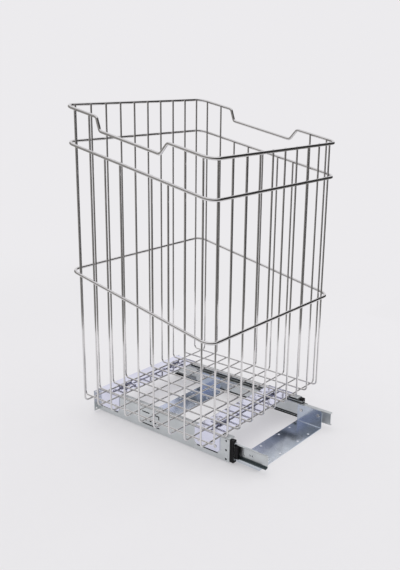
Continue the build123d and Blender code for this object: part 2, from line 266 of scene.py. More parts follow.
class Finish:
    """A material or world under construction, with the patterns that it is made of."""

    def __init__(self, name, kind="materials"):
        self.owner = getattr(bpy.data, kind).new(name)
        self.owner.use_nodes = True
        self.tree = self.owner.node_tree
        self.tree.nodes.clear()

    def node(self, kind, sockets=None, output=0, **settings):
        return add_node(self.tree, kind, sockets, output, **settings)

    @cached_property
    def place(self):
        """The place on the piece."""
        return self.node("ShaderNodeTexCoord", output="Object")

    def stretched(self, scale):
        """The place on the piece, stretched by a scale for each axis."""
        return self.node("ShaderNodeMapping", {"Vector": self.place, "Scale": scale})

    def noise(self, scale, detail=2.0, roughness=0.5, where=None):
        sockets = dict(Vector=where or self.place, Scale=scale, Detail=detail, Roughness=roughness)
        return self.node("ShaderNodeTexNoise", sockets)

    def crystals(self, scale):
        """Patches of one grey each, as the crystals of a plated coat."""
        cells = self.node("ShaderNodeTexVoronoi", {"Vector": self.place, "Scale": scale}, "Color")
        return self.node("ShaderNodeSeparateColor", {"Color": cells})

    def band(self, value, low, high):
        """0 below low, 1 above high, smooth between."""
        return self.node(
            "ShaderNodeMapRange",
            {"Value": value, "From Min": low, "From Max": high},
            interpolation_type="SMOOTHSTEP",
        )

    def blend(self, factor, first, second):
        """Colour that goes from the first to the second by the factor."""
        return self.node("ShaderNodeMix", {0: factor, 6: first, 7: second}, 2, data_type="RGBA")

    def bump(self, height, distance, steepness):
        return self.node(
            "ShaderNodeBump", {"Height": height, "Distance": distance, "Strength": steepness}
        )

    def surface(self, colour, roughness, **sockets):
        """Ends the material in one Principled shader."""
        sockets.update({"Base Color": colour, "Roughness": roughness})
        self.show(self.node("ShaderNodeBsdfPrincipled", sockets))
        return self.owner

    def metal(self, colour, roughness, normal):
        return self.surface(colour, roughness, Metallic=1.0, Normal=normal)

    def dull(self, colour, roughness, normal, shine):
        return self.surface(colour, roughness, Normal=normal, **{"Specular IOR Level": shine})

    def show(self, shader, kind="Material"):
        self.node(f"ShaderNodeOutput{kind}", {"Surface": shader})


def shade(colour, amount=1.0):
    """The colour lightened or darkened, as a shader takes it."""
    return (*(min(1.0, channel * amount) for channel in colour), 1.0)


def bright_chrome(colours):
    """Drawn wire under bright chrome: faint draw marks and a little haze."""
    finish = Finish("bright_chrome")
    clouds = finish.noise(28.0, detail=3.0)
    marks = finish.noise(1600.0, detail=2.0, where=finish.stretched((1.0, 1.0, 0.12)))
    haze = finish.band(finish.noise(90.0, detail=4.0, roughness=0.6), 0.45, 0.75)
    colour = finish.blend(clouds, shade(colours.chrome, 0.90), shade(colours.chrome, 1.10))
    roughness = 0.05 + haze * 0.07 + marks * 0.03
    return finish.metal(colour, roughness, finish.bump(marks, 0.00001, 0.35))


def rolled_zinc(name, deep, pale, polish, patch=16.0, grain=0.45, shade_slant=0.0):
    """Plated sheet: clouded plating from deep to pale, rolling streaks and fine crystals.

    The shade_slant is the share of the clouding that is painted shade instead: dark at the left
    (-X) and light at the right (+X), growing evenly between.
    """
    finish = Finish(name)
    clouds = finish.band(finish.noise(patch, detail=4.0, roughness=0.5), 0.32, 0.68)
    # Painted shade: darker towards -X and lighter towards +X
    if shade_slant:
        across = finish.node("ShaderNodeSeparateXYZ", {"Vector": finish.place})
        clouds = clouds * (1.0 - shade_slant) + finish.band(across, -0.10, 0.10) * shade_slant
    streaks = finish.noise(1.0, detail=3.0, where=finish.stretched((900.0, 22.0, 900.0)))
    crystals = finish.crystals(700.0)
    rubbed = finish.band(finish.noise(45.0, detail=5.0, roughness=0.7), 0.52, 0.72)
    clouded = finish.blend(clouds, deep, pale)
    streaked = finish.blend(streaks * 0.30, clouded, deep)
    worn = finish.blend(rubbed * 0.20, streaked, pale)
    speckled = finish.blend(crystals * 0.10, worn, deep)
    roughness = polish + clouds * 0.10 + streaks * 0.08 - rubbed * 0.06
    relief = finish.bump(streaks + crystals * 0.25, 0.00002, grain)
    return finish.metal(speckled, roughness, relief)


def zinc_sheet(colours):
    deep, pale = shade(colours.zinc, 0.88), shade(colours.zinc, 1.10)
    return rolled_zinc("zinc_sheet", deep, pale, 0.24)


def blue_zinc_sheet(colours):
    deep, pale = shade(colours.blue_zinc), shade(colours.zinc, 1.42)
    # Half of the brackets' clouding is painted shade, dark at -X and light at +X
    return rolled_zinc("blue_zinc_sheet", deep, pale, 0.12, patch=9.0, grain=0.12, shade_slant=0.5)


def pale_zinc_sheet(colours):
    deep, pale = shade(colours.pale_zinc, 0.92), shade(colours.pale_zinc, 1.08)
    return rolled_zinc("pale_zinc_sheet", deep, pale, 0.03, grain=0.1)


# Painted shade: the dark band along the foot of the fixed members
def foot_shade_zinc_sheet(colours):
    deep, pale = shade(colours.dull_zinc, 0.85), shade(colours.dull_zinc, 1.20)
    return rolled_zinc("foot_shade_zinc_sheet", deep, pale, 0.34)


def moulded_plastic(colours):
    """Black moulded plastic: eroded-mould grain and rubbed places."""
    finish = Finish("moulded_plastic")
    grain = finish.noise(2600.0, detail=3.0, roughness=0.65)
    rubbed = finish.band(finish.noise(120.0, detail=3.0), 0.50, 0.70)
    colour = finish.blend(rubbed * 0.5, shade(colours.plastic), shade(colours.plastic, 2.2))
    roughness = 0.52 - rubbed * 0.14 + grain * 0.10
    return finish.dull(colour, roughness, finish.bump(grain, 0.00003, 0.5), shine=0.22)


def grease_and_shade_track(colours):
    """Near-black steel: lubricant in the ball tracks and painted shade in the slides' channels and
    on the walls of their holes and cut-outs, with the path that the balls wear clean.
    """
    finish = Finish("grease_and_shade_track")
    smears = finish.noise(1.0, detail=4.0, where=finish.stretched((300.0, 30.0, 300.0)))
    worn = finish.band(smears, 0.55, 0.80)
    colour = finish.blend(worn, shade(colours.grease_and_shade), shade(colours.grease_and_shade, 3.0))
    roughness = 0.55 - worn * 0.12
    return finish.dull(colour, roughness, finish.bump(smears, 0.00002, 0.4), shine=0.06)


def turned_steel(colours):
    """Bright rivets and balls."""
    finish = Finish("turned_steel")
    spots = finish.noise(400.0, detail=4.0, roughness=0.65)
    colour = finish.blend(spots, shade(colours.chrome, 0.92), shade(colours.chrome, 1.18))
    return finish.metal(colour, 0.12 + spots * 0.16, finish.bump(spots, 0.00001, 0.3))


FINISHES = {
    "chrome_wire": bright_chrome,
    "zinc_steel": zinc_sheet,
    "blue_zinc": blue_zinc_sheet,
    "pale_zinc": pale_zinc_sheet,
    "dull_zinc": foot_shade_zinc_sheet,
    "black_plastic": moulded_plastic,
    "grease_and_shade_track": grease_and_shade_track,
    "bright_steel": turned_steel,
}
materials = {}


def finish_named(name):
    """The material of that finish, made the first time it is asked for."""
    if name not in materials:
        materials[name] = FINISHES[name](bpy.context.scene.laundry_plating)
    return materials[name]


# Work on the bench: every helper leaves one finished piece selected in object mode


def set_mode(mode):
    bpy.ops.object.mode_set(mode=mode)


def start_fresh():
    """Leaves edit mode and lets go of everything."""
    if bpy.context.mode != "OBJECT":
        set_mode("OBJECT")
    bpy.ops.object.select_all(action="DESELECT")


def take(piece):
    """Selects one piece alone."""
    start_fresh()
    piece.select_set(True)
    bpy.context.view_layer.objects.active = piece


def settle():
    """Moves the active piece's place, turn and scale into its mesh."""
    bpy.ops.object.transform_apply(location=True, rotation=True, scale=True)


def open_mesh(action="SELECT", kind="VERT"):
    """Goes into edit mode with all or nothing selected."""
    set_mode("EDIT")
    bpy.ops.mesh.select_mode(type=kind)
    bpy.ops.mesh.select_all(action=action)


def pick_faces(wanted):
    """Selects the faces whose middle and normal pass the test, and stays in edit mode."""
    open_mesh("DESELECT", "FACE")
    set_mode("OBJECT")
    for face in bpy.context.object.data.polygons:
        face.select = wanted(face.center, face.normal)
    set_mode("EDIT")


def apply_modifier(kind, **settings):
    """Adds a modifier to the active piece, sets it and applies it."""
    piece = bpy.context.object
    bpy.ops.object.modifier_add(type=kind)
    modifier = piece.modifiers[-1]
    for name, value in settings.items():
        setattr(modifier, name, value)
    bpy.ops.object.modifier_apply(modifier=modifier.name)


def facing(heading, axis="Z"):
    """The turn that points one axis of a piece along a direction."""
    return Vector(heading).to_track_quat(axis, "Y")


def smooth(angle=SHARP_ANGLE):
    """Smooth shading that keeps the real edges."""
    bpy.ops.object.shade_smooth_by_angle(angle=angle)


def soften_edges(width):
    """Breaks the sharp edges of the active piece and keeps its flat faces flat."""
    apply_modifier("BEVEL", width=width, segments=2, limit_method="ANGLE", angle_limit=SHARP_ANGLE)
    smooth(FILLET_ANGLE)
    apply_modifier("WEIGHTED_NORMAL", keep_sharp=True)


def merged_copy(node):
    """A copy of a solid's mesh with its loose triangles merged into whole faces."""
    start_fresh()
    piece = bpy.data.objects.new(f"{node}_finished", frame["nodes"][node].data.copy())
    bpy.context.scene.collection.objects.link(piece)
    take(piece)
    bpy.ops.mesh.customdata_custom_splitnormals_clear()
    open_mesh()
    bpy.ops.mesh.remove_doubles(threshold=MERGE_DISTANCE)
    bpy.ops.mesh.dissolve_limited(angle_limit=FLAT_ANGLE)
    set_mode("OBJECT")
    return piece


def copy_of(pattern, name, place, heading=(0, 0, 1)):
    """A copy of a small piece, stood on a point and facing a direction."""
    take(pattern)
    bpy.ops.object.duplicate(linked=False)
    piece = bpy.context.object
    piece.name = name
    piece.location = place
    piece.rotation_euler = Vector((0, 0, 1)).rotation_difference(Vector(heading)).to_euler()
    settle()
    return piece


def join(pieces, name):
    """One piece made of several."""
    start_fresh()
    for piece in pieces:
        piece.select_set(True)
    bpy.context.view_layer.objects.active = pieces[0]
    bpy.ops.object.join()
    bpy.context.object.name = name
    return bpy.context.object


def cut_away(piece, cutter):
    """Cuts one shape out of a piece and clears the cutter away."""
    take(piece)
    apply_modifier("BOOLEAN", operation="DIFFERENCE", solver="EXACT", object=cutter)
    bpy.data.objects.remove(cutter)


def drill(piece, places, diameter, depth):
    """Drills round holes through sheet that stands lengthwise."""
    drills = []
    for place in places:
        start_fresh()
        bpy.ops.mesh.primitive_cylinder_add(
            vertices=HOLE_FACETS,
            radius=diameter / 2,
            depth=depth,
            location=place,
            rotation=facing((1, 0, 0)).to_euler(),
        )
        drills.append(bpy.context.object)
    cutter = join(drills, "drill")
    settle()
    cut_away(piece, cutter)


def hand_over(piece, finish, slot, body, *nodes):
    """Gives a finished piece its material and its body, and hides the solids that it stands for."""
    start_fresh()
    piece.data.materials.clear()
    piece.data.materials.append(finish_named(finish))
    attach(piece, body)
    if nodes:
        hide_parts(*nodes)


def paint(piece, finish, wanted):
    """Gives another material to the faces whose middle and normal pass the test."""
    take(piece)
    bpy.ops.object.material_slot_add()
    piece.material_slots[-1].material = finish_named(finish)
    pick_faces(wanted)
    piece.active_material_index = len(piece.material_slots) - 1
    bpy.ops.object.material_slot_assign()
    start_fresh()


def body_of(node):
    return frame["nodes"][node]["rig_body"]


def dress(piece, node, finish):
    """Hands over the piece that stands for one solid."""
    hand_over(piece, finish, finish, body_of(node), node)


def form(node, edge, finish):
    """A copy of a solid with its edges broken, handed over in its finish."""
    piece = merged_copy(node)
    soften_edges(edge)
    dress(piece, node, finish)
    return piece


def middle(node):
    low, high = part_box(node)
    return (low + high) / 2


def solids(start):
    """Names of the solids that begin like this."""
    return sorted(node for node in frame["nodes"] if node.startswith(start))


class WireBender:
    """A round wire that grows out of a die by straight runs and bends."""

    def __init__(self, name, start, heading, diameter):
        self.at = Vector(start)
        self.heading = Vector(heading).normalized()
        start_fresh()
        bpy.ops.mesh.primitive_circle_add(
            vertices=WIRE_FACETS,
            radius=diameter / 2,
            location=self.at,
            rotation=facing(self.heading).to_euler(),
        )
        self.wire = bpy.context.object
        self.wire.name = name
        settle()
        open_mesh()

    def feed(self, length):
        step = self.heading * length
        bpy.ops.mesh.extrude_region_move(TRANSFORM_OT_translate={"value": step})
        self.at += step

    def turn(self, axis, angle, radius, steps=BEND_STEPS):
        """Bends the wire about an axis, right-handed, round a pin of that radius."""
        axis = Vector(axis).normalized()
        pin = self.at + axis.cross(self.heading) * copysign(radius, angle)
        bpy.ops.mesh.spin(steps=steps, angle=-angle, center=pin, axis=axis)
        swing = Quaternion(axis, angle)
        self.at = pin + swing @ (self.at - pin)
        self.heading = swing @ self.heading

    def close_ends(self, rounding):
        """Closes both ends of the wire and rounds their edges."""
        bpy.ops.mesh.select_all(action="SELECT")
        bpy.ops.mesh.remove_doubles(threshold=MERGE_DISTANCE)
        bpy.ops.mesh.fill_holes(sides=0)
        bpy.ops.mesh.normals_make_consistent(inside=False)
        bpy.ops.mesh.select_mode(type="FACE")
        bpy.ops.mesh.select_all(action="DESELECT")
        bpy.ops.mesh.select_face_by_sides(number=4, type="GREATER")
        bpy.ops.mesh.bevel(offset=rounding, segments=2, affect="EDGES")
        set_mode("OBJECT")
        smooth()
        return self.wire

    def close_loop(self):
        """Mirrors half a ring into a whole one."""
        set_mode("OBJECT")
        apply_modifier("MIRROR", use_mirror_merge=True, merge_threshold=MIRROR_DISTANCE)
        open_mesh()
        bpy.ops.mesh.remove_doubles(threshold=MERGE_DISTANCE)
        bpy.ops.mesh.normals_make_consistent(inside=False)
        set_mode("OBJECT")
        smooth()
        return self.wire


class BendRings(bpy.types.Operator):
    """Bend the rim with its hand-holds, the collar and the belly ring"""

    bl_idname = "laundry.bend_rings"
    bl_label = "Bend the rings"

    def execute(self, context):
        sizes = context.scene.laundry_basket
        self.bend("top_rim", sizes, sizes.rim_height, self.hand_hold)
        self.bend("collar_ring", sizes, sizes.collar_height, self.plain_side)
        self.bend("belly_ring", sizes, sizes.belly_height, self.plain_side)
        return {"FINISHED"}

    def bend(self, node, sizes, height, side):
        slope = sizes.ring_slope
        low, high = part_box("belly_ring")
        half_width = high.x - sizes.ring_wire / 2
        half_depth = (high.y - low.y - sizes.ring_wire) / 2
        rise = Vector((0, sin(slope), cos(slope)))
        back = Vector((0, cos(slope), -sin(slope)))
        half_run = half_depth / cos(slope)
        centre = Vector((0, (low.y + high.y) / 2, height))
        bender = WireBender(f"{node}_bent", centre + back * half_run, (1, 0, 0), sizes.ring_wire)
        bender.feed(half_width - sizes.ring_corner)
        bender.turn(rise, -pi / 2, sizes.ring_corner, RING_STEPS)
        side(bender, sizes, half_run - sizes.ring_corner)
        bender.turn(rise, -pi / 2, sizes.ring_corner, RING_STEPS)
        bender.feed(half_width - sizes.ring_corner)
        dress(bender.close_loop(), node, "chrome_wire")

    def plain_side(self, bender, sizes, half_side):
        bender.feed(2 * half_side)

    def hand_hold(self, bender, sizes, half_side):
        """Side of the rim, front to rear, with the dip that a hand reaches through."""
        angle = pi / 3
        tangent = sizes.hand_hold_bend * tan(angle / 2)
        ramp = Vector((sizes.hand_hold_ramp, sizes.hand_hold_depth)).length - 2 * tangent
        low_half = sizes.hand_hold_length / 2
        rear = half_side + sizes.hand_hold_forward - low_half - sizes.hand_hold_ramp
        front = half_side - sizes.hand_hold_forward - low_half - sizes.hand_hold_ramp
        low_run = 2 * (low_half - tangent)
        for run, way in ((rear - tangent, 1), (ramp, -1), (low_run, -1), (ramp, 1)):
            bender.feed(run)
            bender.turn((1, 0, 0), way * angle, sizes.hand_hold_bend)
        bender.feed(front - tangent)


def bend_wire(name, start, end_height, bottom, across, span):
    """A wire bent to a U: down from its start, across by the span and up again."""
    sizes = bpy.context.scene.laundry_basket
    radius = sizes.wire_bend
    axis = Vector((0, 0, -1)).cross(across)
    bender = WireBender(name, start, (0, 0, -1), sizes.grid_wire)
    bender.feed(start[2] - bottom - radius)
    bender.turn(axis, pi / 2, radius)
    bender.feed(span - 2 * radius)
    bender.turn(axis, pi / 2, radius)
    bender.feed(end_height - bottom - radius)
    return bender.close_ends(sizes.end_bevel)


class BendFrontRearWires(bpy.types.Operator):
    """Bend one wire that runs front to rear and copy it across the basket"""

    bl_idname = "laundry.bend_front_rear_wires"
    bl_label = "Bend the front-to-rear wires"

    def execute(self, context):
        sizes = context.scene.laundry_basket
        nodes = solids("front_rear_wire_")
        low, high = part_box(nodes[0])
        thin = sizes.grid_wire / 2
        start, across = (0, low.y + thin, high.z), Vector((0, 1, 0))
        span = high.y - low.y - 2 * thin
        end_height = high.z - span * tan(sizes.ring_slope)
        pattern = bend_wire("wire_pattern", start, end_height, low.z + thin, across, span)
        for node in nodes:
            piece = copy_of(pattern, f"{node}_bent", (middle(node).x, 0, 0))
            dress(piece, node, "chrome_wire")
        bpy.data.objects.remove(pattern)
        return {"FINISHED"}


class BendSideWires(bpy.types.Operator):
    """Bend the wires that run side to side, each as tall as the ring it ends at"""

    bl_idname = "laundry.bend_side_wires"
    bl_label = "Bend the side-to-side wires"

    def execute(self, context):
        sizes = context.scene.laundry_basket
        thin = sizes.grid_wire / 2
        for node in solids("side_wire_"):
            low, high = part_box(node)
            start, across = (low.x + thin, (low.y + high.y) / 2, high.z), Vector((1, 0, 0))
            span = high.x - low.x - 2 * thin
            piece = bend_wire(f"{node}_bent", start, high.z, low.z + thin, across, span)
            dress(piece, node, "chrome_wire")
        return {"FINISHED"}


class WeldWires(bpy.types.Operator):
    """Weld the wires to each other and to the rings with a small bead at each crossing"""

    bl_idname = "laundry.weld_wires"
    bl_label = "Weld the basket"

    def execute(self, context):
        sizes = context.scene.laundry_basket
        start_fresh()
        bpy.ops.mesh.primitive_ico_sphere_add(
            subdivisions=2, radius=sizes.weld_bead / 2, location=(0, 0, 0)
        )
        bead = bpy.context.object
        set_mode("EDIT")
        bpy.ops.transform.resize(value=(1, 1, sizes.weld_sink))
        set_mode("OBJECT")
        lengthwise = [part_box(node) for node in solids("front_rear_wire_")]
        crosswise = [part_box(node) for node in solids("side_wire_")]
        places = self.grid_places(lengthwise, crosswise)
        places += self.ring_places(lengthwise, crosswise, sizes)
        beads = join([copy_of(bead, "bead", place, way) for place, way in places], "weld_beads")
        smooth(ROUND_ANGLE)
        hand_over(beads, "chrome_wire", "chrome_wire", "basket")
        bpy.data.objects.remove(bead)
        return {"FINISHED"}

    def grid_places(self, lengthwise, crosswise):
        """Between the two layers of the basket's floor."""
        return [
            (((a_low.x + a_high.x) / 2, (b_low.y + b_high.y) / 2, a_low.z), (0, 0, 1))
            for a_low, a_high in lengthwise
            for b_low, b_high in crosswise
        ]

    def ring_places(self, lengthwise, crosswise, sizes):
        """Between the standing wires and the rings round them."""
        middle_y = middle("belly_ring").y
        places = []
        for height in (sizes.belly_height, sizes.collar_height, sizes.rim_height):
            for low, high in lengthwise:
                for y, way in ((low.y, -1), (high.y, 1)):
                    z = height - (y - middle_y) * tan(sizes.ring_slope)
                    places.append((((low.x + high.x) / 2, y, z), (0, way, 0)))
            for low, high in crosswise:
                y = (low.y + high.y) / 2
                z = height - (y - middle_y) * tan(sizes.ring_slope)
                if z < high.z:
                    places += [((x, y, z), (way, 0, 0)) for x, way in ((low.x, -1), (high.x, 1))]
        return places


class FormBrackets(bpy.types.Operator):
    """Form the two floor brackets"""

    bl_idname = "laundry.form_brackets"
    bl_label = "Form the floor brackets"

    def execute(self, context):
        for end in ENDS:
            form(f"floor_bracket_{end}", context.scene.laundry_frame.sheet_edge, "blue_zinc")
        return {"FINISHED"}


def window_places(x):
    """Middles of the three round holes in the window of a side plate."""
    sizes = bpy.context.scene.laundry_frame
    z = middle("slide_outer_member_right").z - sizes.window_drop
    return [(x, sizes.window_middle + step * sizes.window_hole_pitch, z) for step in (-1, 0, 1)]


def column_places(x):
    """Middles of the three holes above each other at a side plate's rear end."""
    sizes = bpy.context.scene.laundry_frame
    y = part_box("side_plate_right")[1].y - sizes.column_inset
    z = middle("slide_outer_member_right").z
    return [(x, y, z + step * sizes.column_pitch) for step in (-1, 0, 1)]


class FormSidePlates(bpy.types.Operator):
    """Form the side plates and pierce their windows"""

    bl_idname = "laundry.form_side_plates"
    bl_label = "Form the side plates"

    def execute(self, context):
        sizes = context.scene.laundry_frame
        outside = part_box("cross_strip_front")[1].x
        through = 2 * (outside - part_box("slide_outer_member_right")[1].x) + sizes.outer_sheet
        for side, sign in SIDES:
            node = f"side_plate_{side}"
            piece = merged_copy(node)
            drill(piece, window_places(sign * outside), sizes.window_hole, through)
            soften_edges(sizes.sheet_edge)
            dress(piece, node, "zinc_steel")
        return {"FINISHED"}


class FormStrips(bpy.types.Operator):
    """Form the two cross strips with their folded ends"""

    bl_idname = "laundry.form_strips"
    bl_label = "Form the cross strips"

    def execute(self, context):
        for end in ENDS:
            form(f"cross_strip_{end}", context.scene.laundry_frame.sheet_edge, "pale_zinc")
        return {"FINISHED"}


class RollSlides(bpy.types.Operator):
    """Roll the outer, intermediate and fixed members of both slides"""

    bl_idname = "laundry.roll_slides"
    bl_label = "Roll the slide members"

    def execute(self, context):
        sizes = context.scene.laundry_frame
        for side, sign in SIDES:
            self.roll_outer(f"slide_outer_member_{side}", sign, sizes)
            self.roll_middle(f"slide_middle_member_{side}", sizes)
            self.roll_inner(f"slide_inner_member_{side}", sizes)
        return {"FINISHED"}

    def in_channel(self, centre, normal, node, reach, rim):
        """Whether a face lies inside a channel, in from its rims and not on a cut end."""
        low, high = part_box(node)
        top = (high.z - low.z) / 2 - rim
        inside = abs(centre.x) < reach and abs(centre.z - (low.z + high.z) / 2) < top
        return inside and abs(normal.y) < FACING

    def roll_outer(self, node, sign, sizes):
        """Outer member, bored through with its side plate, near-black inside its two lips and on
        the walls of its cut-outs: lubricant in the ball tracks and painted shade.
        """
        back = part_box("slide_outer_member_right")[1].x
        piece = merged_copy(node)
        through = 4 * sizes.outer_sheet
        drill(piece, window_places(sign * back), sizes.window_hole, through)
        drill(piece, column_places(sign * back), sizes.column_hole, through)
        soften_edges(sizes.sheet_edge)
        dress(piece, node, "zinc_steel")
        skin = sizes.outer_sheet / 4

        # Painted shade and lubricant: faces inside the lips and on the walls of the holes, but not
        # the web's inner face
        def under_grease_and_shade(centre, normal):
            on_web = abs(normal.x) > SQUARE_ON and abs(centre.x) > back - sizes.outer_sheet - skin
            inside = self.in_channel(centre, normal, node, back - skin, sizes.outer_rim)
            return inside and not on_web

        paint(piece, "grease_and_shade_track", under_grease_and_shade)

    def roll_middle(self, node, sizes):
        """Intermediate member, near-black inside its two lips: lubricant in the ball tracks and
        painted shade.
        """
        piece = form(node, sizes.sheet_edge, "zinc_steel")
        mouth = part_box("slide_middle_member_right")[0].x
        lip = mouth + sizes.middle_sheet + sizes.ball / 2

        # Painted shade and lubricant: faces inside the lips
        def under_grease_and_shade(centre, normal):
            return self.in_channel(centre, normal, node, lip, sizes.middle_rim)

        paint(piece, "grease_and_shade_track", under_grease_and_shade)

    def roll_inner(self, node, sizes):
        """Fixed member: painted shade in a dark band along its foot and on the walls of its
        cut-outs.
        """
        low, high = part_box("slide_inner_member_right")
        piece = form(node, sizes.sheet_edge, "zinc_steel")
        take(piece)
        open_mesh()
        # Painted shade: a dark band along the foot, up to this height
        foot_shade_top = low.z + sizes.foot_shade_height
        bpy.ops.mesh.bisect(plane_co=(0, 0, foot_shade_top), plane_no=(0, 0, 1))
        skin = sizes.outer_sheet / 4

        # Painted shade: the faces of the foot below that height
        def in_foot_shade(centre, normal):
            return abs(normal.y) < FACING and abs(centre.x) > low.x + skin and centre.z < foot_shade_top

        # Painted shade: the walls of the web's cut-outs go near-black
        def in_shaded_cut(centre, normal):
            in_web = skin < abs(centre.x) - low.x < sizes.outer_sheet - skin
            away_from_ends = low.y + skin < centre.y < high.y - skin
            off_middle = abs(centre.z - (low.z + high.z) / 2)
            return in_web and away_from_ends and off_middle < (high.z - low.z) / 3

        paint(piece, "dull_zinc", in_foot_shade)
        paint(piece, "grease_and_shade_track", in_shaded_cut)


class MouldSlideEnds(bpy.types.Operator):
    """Mould the caps and buffers at the rear ends of the slides"""

    bl_idname = "laundry.mould_slide_ends"
    bl_label = "Mould the slide ends"

    def execute(self, context):
        sizes = context.scene.laundry_frame
        for side, sign in SIDES:
            for node in (f"slide_end_cap_{side}", f"slide_buffer_{side}"):
                form(node, sizes.plastic_edge, "black_plastic")
            # Painted shade: a black sheet behind the holes at the plate's rear end, so that they
            # look dark
            self.back_holes_with_shade_sheet(side, sign, sizes)
        return {"FINISHED"}

    def back_holes_with_shade_sheet(self, side, sign, sizes):
        """Thin black sheet on the outside of an intermediate member's rear end: painted shade that
        makes the holes at the side plate's rear end look dark.
        """
        low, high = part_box("slide_middle_member_right")
        start_fresh()
        bpy.ops.mesh.primitive_cube_add(
            size=1,
            location=(
                sign * (high.x + sizes.shade_sheet_thickness / 2),
                high.y - sizes.shade_sheet_length / 2,
                (low.z + high.z) / 2,
            ),
            scale=(sizes.shade_sheet_thickness, sizes.shade_sheet_length, high.z - low.z + sizes.outer_sheet),
        )
        shade_sheet = bpy.context.object
        shade_sheet.name = f"hole_shade_sheet_{side}"
        settle()
        soften_edges(sizes.shade_sheet_thickness / 3)
        hand_over(shade_sheet, "black_plastic", "black_plastic", f"{side}_middle")


class FillCages(bpy.types.Operator):
    """Pierce the four ball cages and fill their pockets with balls"""

    bl_idname = "laundry.fill_cages"
    bl_label = "Fill the ball cages"

    def execute(self, context):
        sizes = context.scene.laundry_frame
        ball = self.model_ball(sizes.ball)
        pocket = self.model_ball(sizes.ball + 2 * sizes.ball_play)
        for side, sign in SIDES:
            for row in ("inner", "outer"):
                node = f"{row}_ball_cage_{side}"
                places = self.ball_places(node, sign, sizes)
                cage = merged_copy(node)
                cut_away(cage, join([copy_of(pocket, "pocket", p) for p in places], "pockets"))
                smooth()
                dress(cage, node, "black_plastic")
                balls = join([copy_of(ball, "ball", p) for p in places], f"{row}_balls_{side}")
                smooth(ROUND_ANGLE)
                hand_over(balls, "bright_steel", "chrome_wire", body_of(node))
        bpy.data.objects.remove(ball)
        bpy.data.objects.remove(pocket)
        return {"FINISHED"}

    def model_ball(self, diameter):
        start_fresh()
        bpy.ops.mesh.primitive_ico_sphere_add(subdivisions=3, radius=diameter / 2)
        return bpy.context.object

    def ball_places(self, node, sign, sizes):
        """Two rows of balls, along the edges that the cage turns in."""
        low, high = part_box(node)
        inner_edge = min(abs(low.x), abs(high.x))
        x = sign * (inner_edge + sizes.ball / 2 - sizes.ball_set)
        run = (high.y - low.y - 2 * sizes.cage_end) / (sizes.balls_in_row - 1)
        rows = (low.z + sizes.cage_sheet / 2, high.z - sizes.cage_sheet / 2)
        return [
            (x, low.y + sizes.cage_end + number * run, z)
            for z in rows
            for number in range(sizes.balls_in_row)
        ]


class FormClips(bpy.types.Operator):
    """Form the four saddle clips that hold the basket's bottom wires"""

    bl_idname = "laundry.form_clips"
    bl_label = "Form the basket clips"

    def execute(self, context):
        edge = context.scene.laundry_frame.sheet_edge
        for end in ENDS:
            form(f"basket_clip_{end}_left", edge, "pale_zinc")
            form(f"basket_clip_{end}_right", edge, "pale_zinc")
        return {"FINISHED"}


class SetRivets(bpy.types.Operator):
    """Set the rivets of the brackets, the side plates and the clips"""

    bl_idname = "laundry.set_rivets"
    bl_label = "Set the rivets"

    def execute(self, context):
        sizes = context.scene.laundry_frame
        head = self.model_head("rivet_pattern", sizes.rivet_head, sizes.rivet_height)
        small_head = self.model_head(
            "clip_rivet_pattern", sizes.clip_rivet_head, sizes.rivet_height
        )
        slide_z = middle("slide_outer_member_right").z
        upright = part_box("floor_bracket_front")[1].x - sizes.bracket_sheet
        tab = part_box("cross_strip_front")[1].x
        for side, sign in SIDES:
            for end in ENDS:
                bracket, strip = f"floor_bracket_{end}", f"cross_strip_{end}"
                inside, outside = (sign * upright, slide_z), (sign * tab, slide_z)
                self.set_pair(head, f"bracket_rivet_{end}_{side}", bracket, inside, -sign)
                self.set_pair(head, f"plate_rivet_{end}_{side}", strip, outside, sign)
                self.set_clip_rivet(small_head, end, side)
        bpy.data.objects.remove(head)
        bpy.data.objects.remove(small_head)
        return {"FINISHED"}

    def model_head(self, name, diameter, height):
        """Domed head with a dimple where the mandrel broke off."""
        start_fresh()
        bpy.ops.mesh.primitive_cylinder_add(
            vertices=HOLE_FACETS, radius=diameter / 2, depth=height, location=(0, 0, height / 2)
        )
        head = bpy.context.object
        head.name = name
        settle()
        dome, dimple = 0.7 * height, 0.35 * height
        crown, dimple_wall, reach = 0.12 * diameter, 0.03 * diameter, 0.02 * diameter
        pick_faces(lambda centre, normal: normal.z > FACING)
        bpy.ops.mesh.bevel(offset=dome, segments=5, affect="EDGES")
        pick_faces(lambda centre, normal: normal.z > SQUARE_ON and centre.xy.length < reach)
        bpy.ops.mesh.inset(thickness=crown)
        bpy.ops.mesh.inset(thickness=dimple_wall)
        bpy.ops.transform.translate(value=(0, 0, -dimple))
        set_mode("OBJECT")
        smooth()
        return head

    def set_pair(self, pattern, name, node, place, way):
        """Two rivets side by side across the middle of a strip of sheet."""
        half = bpy.context.scene.laundry_frame.rivet_spacing / 2
        x, z = place
        y = middle(node).y
        pair = [copy_of(pattern, name, (x, y + step, z), (way, 0, 0)) for step in (-half, half)]
        hand_over(join(pair, name), "bright_steel", "zinc_steel", body_of(node))

    def set_clip_rivet(self, pattern, end, side):
        """The rivet through the free end of a clip's base."""
        node = f"basket_clip_{end}_{side}"
        low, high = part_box(node)
        strip = middle(f"cross_strip_{end}")
        base_end = low.y if abs(low.y - strip.y) > abs(high.y - strip.y) else high.y
        sizes = bpy.context.scene.laundry_frame
        y = base_end + copysign(sizes.clip_rivet_inset, strip.y - base_end)
        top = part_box(f"cross_strip_{end}")[1].z + sizes.clip_sheet
        piece = copy_of(pattern, f"clip_rivet_{end}_{side}", ((low.x + high.x) / 2, y, top))
        hand_over(piece, "bright_steel", "zinc_steel", body_of(node))


